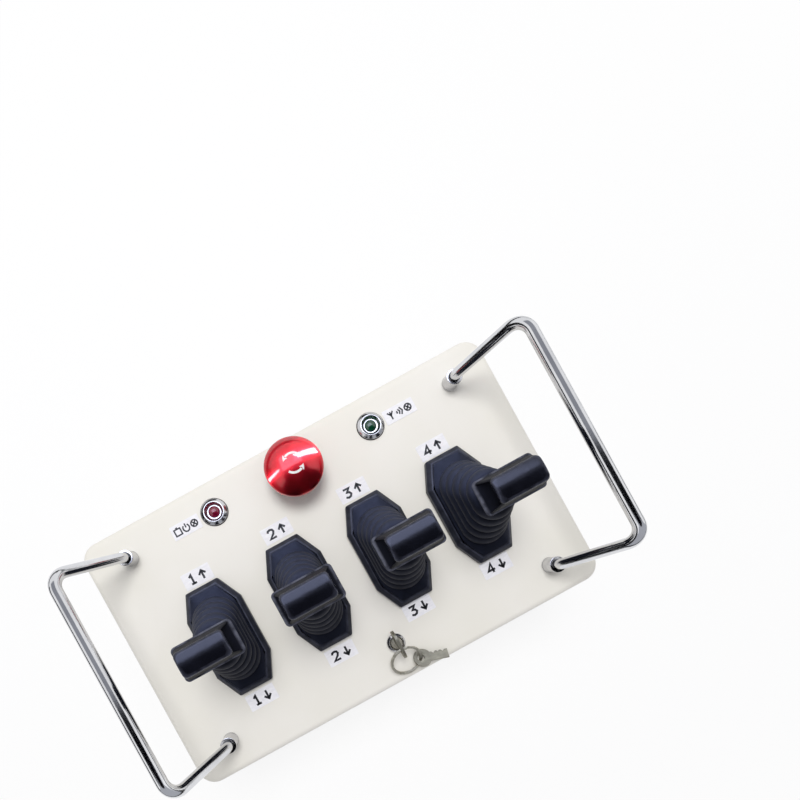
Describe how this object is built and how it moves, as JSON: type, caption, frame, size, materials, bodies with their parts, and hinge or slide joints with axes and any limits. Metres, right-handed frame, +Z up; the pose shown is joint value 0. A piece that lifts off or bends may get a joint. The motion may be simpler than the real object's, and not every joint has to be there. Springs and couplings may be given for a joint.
{
  "type": "crane radio remote control",
  "caption": "Box-shaped crane radio transmitter with booted paddle levers in a row, a twist-release mushroom stop button, lamps, a key switch and bent rod handles.",
  "frame": {"origin": "centre of the housing at the plane the rubber feet stand on", "axes": "+X across the panel to the green lamp, +Y towards the stop button, +Z up out of the panel"},
  "size_m": [0.33, 0.197, 0.1905],
  "materials": {
    "housing_cream": "glossy cream, faint moulded grain",
    "bezel_black": "satin black with lighter worn edges",
    "boot_rubber": "matte black rubber",
    "paddle_black": "glossy blue-black",
    "lever_steel": "turned steel",
    "frame_black": "moulded black",
    "spring_steel": "drawn wire",
    "sensor_green": "moulded dark green",
    "gasket_rubber": "matte black",
    "foot_rubber": "matte black",
    "screw_steel": "zinc plated",
    "handle_chrome": "bright chrome",
    "lamp_chrome": "bright chrome",
    "lock_chrome": "bright chrome",
    "stop_red": "turned and dyed red",
    "stop_black": "moulded black",
    "contact_yellow": "moulded ochre",
    "lens_red": "clear red moulding",
    "lens_green": "clear green moulding",
    "plug_brass": "turned brass",
    "key_nickel": "nickel plated",
    "board_green": "solder mask",
    "battery_blue": "shrink sleeve"
  },
  "bodies": {
    "housing": {"bezel_1": "bezel_black", "boot_1": "boot_rubber", "joystick_frame_1": "frame_black", "centring_spring_1": "spring_steel", "sensor_1": "sensor_green", "bezel_2": "bezel_black", "boot_2": "boot_rubber", "joystick_frame_2": "frame_black", "centring_spring_2": "spring_steel", "sensor_2": "sensor_green", "bezel_3": "bezel_black", "boot_3": "boot_rubber", "joystick_frame_3": "frame_black", "centring_spring_3": "spring_steel", "sensor_3": "sensor_green", "bezel_4": "bezel_black", "boot_4": "boot_rubber", "joystick_frame_4": "frame_black", "centring_spring_4": "spring_steel", "sensor_4": "sensor_green", "top_shell": "housing_cream", "bottom_shell": "housing_cream", "seam_gasket": "gasket_rubber", "rubber_feet": "foot_rubber", "shell_screws": "screw_steel", "left_handle": "handle_chrome", "right_handle": "handle_chrome", "handle_ferrules": "handle_chrome", "handle_screws": "screw_steel", "joystick_screws": "screw_steel", "estop_body": "stop_black", "estop_contact_block": "contact_yellow", "estop_spring": "spring_steel", "power_lamp_bezel": "lamp_chrome", "power_lamp_lens": "lens_red", "signal_lamp_bezel": "lamp_chrome", "signal_lamp_lens": "lens_green", "panel_nuts": "screw_steel", "key_lock_body": "lock_chrome", "circuit_board": "board_green", "battery_pack": "battery_blue"},
    "lever_1_group": {"lever_1": "lever_steel", "pivot_pin_1": "lever_steel", "paddle_1": "paddle_black"},
    "lever_2_group": {"lever_2": "lever_steel", "pivot_pin_2": "lever_steel", "paddle_2": "paddle_black"},
    "lever_3_group": {"lever_3": "lever_steel", "pivot_pin_3": "lever_steel", "paddle_3": "paddle_black"},
    "lever_4_group": {"lever_4": "lever_steel", "pivot_pin_4": "lever_steel", "paddle_4": "paddle_black"},
    "stop_stem": {"estop_stem": "stop_black"},
    "stop_head": {"estop_head": "stop_red"},
    "key_group": {"key_plug": "plug_brass", "key": "key_nickel"},
    "ring_group": {"key_ring": "lock_chrome"},
    "spare_key_group": {"spare_key": "key_nickel"}
  },
  "joints": [
    {"name": "lever_1_tilt", "type": "hinge", "parent": "housing", "child": "lever_1_group", "pos_m": [-0.09595, -0.0085, 0.0905], "axis": [1, 0, 0], "range_deg": [-22, 22], "stiffness_Nm_per_rad": 0.6, "deforming": ["boot_1", "centring_spring_1"]},
    {"name": "lever_2_tilt", "type": "hinge", "parent": "housing", "child": "lever_2_group", "pos_m": [-0.03065, -0.0085, 0.0905], "axis": [1, 0, 0], "range_deg": [-22, 22], "stiffness_Nm_per_rad": 0.6, "deforming": ["boot_2", "centring_spring_2"]},
    {"name": "lever_3_tilt", "type": "hinge", "parent": "housing", "child": "lever_3_group", "pos_m": [0.03465, -0.0085, 0.0905], "axis": [1, 0, 0], "range_deg": [-22, 22], "stiffness_Nm_per_rad": 0.6, "deforming": ["boot_3", "centring_spring_3"]},
    {"name": "lever_4_tilt", "type": "hinge", "parent": "housing", "child": "lever_4_group", "pos_m": [0.09995, -0.0085, 0.0905], "axis": [1, 0, 0], "range_deg": [-22, 22], "stiffness_Nm_per_rad": 0.6, "deforming": ["boot_4", "centring_spring_4"]},
    {"name": "stop_push", "type": "slide", "parent": "housing", "child": "stop_stem", "axis": [0, 0, -1], "range_m": [0, 0.0045], "stiffness_N_per_m": 500, "springref_m": -0.005, "deforming": ["estop_spring"]},
    {"name": "stop_twist", "type": "hinge", "parent": "stop_stem", "child": "stop_head", "pos_m": [0.002, 0.072, 0.125], "axis": [0, 0, 1], "range_deg": [0, 45], "stiffness_Nm_per_rad": 0.05},
    {"name": "key_turn", "type": "hinge", "parent": "housing", "child": "key_group", "pos_m": [0.007, -0.0705, 0.1045], "axis": [0, 0, -1], "range_deg": [0, 90]},
    {"name": "ring_swing", "type": "hinge", "parent": "key_group", "child": "ring_group", "pos_m": [0.007, -0.0745, 0.1167], "axis": [-1, 0, 0], "range_deg": [0, 40]},
    {"name": "spare_key_swing", "type": "hinge", "parent": "ring_group", "child": "spare_key_group", "pos_m": [0.01697, -0.08813, 0.10902], "axis": [-0.2588, -0.9659, 0], "range_deg": [0, 15]}
  ]
}
